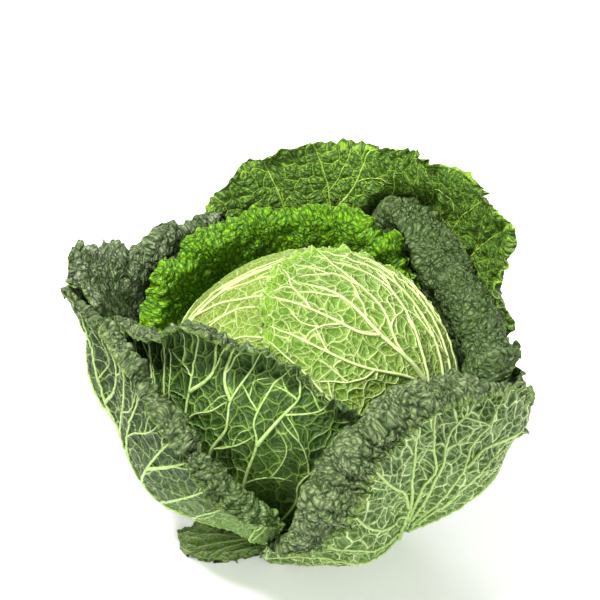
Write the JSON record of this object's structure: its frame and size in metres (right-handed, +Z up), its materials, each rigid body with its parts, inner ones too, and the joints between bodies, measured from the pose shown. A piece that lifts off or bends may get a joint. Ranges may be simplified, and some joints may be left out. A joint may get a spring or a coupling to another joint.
{
  "type": "savoy cabbage",
  "caption": "Savoy cabbage: a round pale head of wrapped leaves inside loose dark crinkled outer leaves with rolled margins, standing on the flat cut face of its short stalk.",
  "frame": {"origin": "middle of the stalk's cut face, which stands on the ground plane", "axes": "+Z up out of the cut face, -Y towards the side the picture was taken from, +X to the right seen from there; the head leans towards -X"},
  "size_m": [0.2695, 0.2564, 0.2071],
  "materials": {
    "stalk": null,
    "head_leaf": null,
    "collar_leaf": null,
    "outer_leaf": null
  },
  "bodies": {
    "root": {"stalk": "stalk", "heart": "head_leaf", "head_leaf_back": "head_leaf", "head_leaf_right": "head_leaf", "head_leaf_left": "head_leaf", "head_leaf_front": "head_leaf", "leaf_collar": "collar_leaf", "leaf_front_left": "outer_leaf", "leaf_right": "outer_leaf", "leaf_left_back": "outer_leaf", "leaf_back": "outer_leaf", "leaf_right_low": "outer_leaf", "leaf_left": "outer_leaf", "leaf_bottom": "outer_leaf", "leaf_front_right": "outer_leaf"}
  },
  "joints": []
}
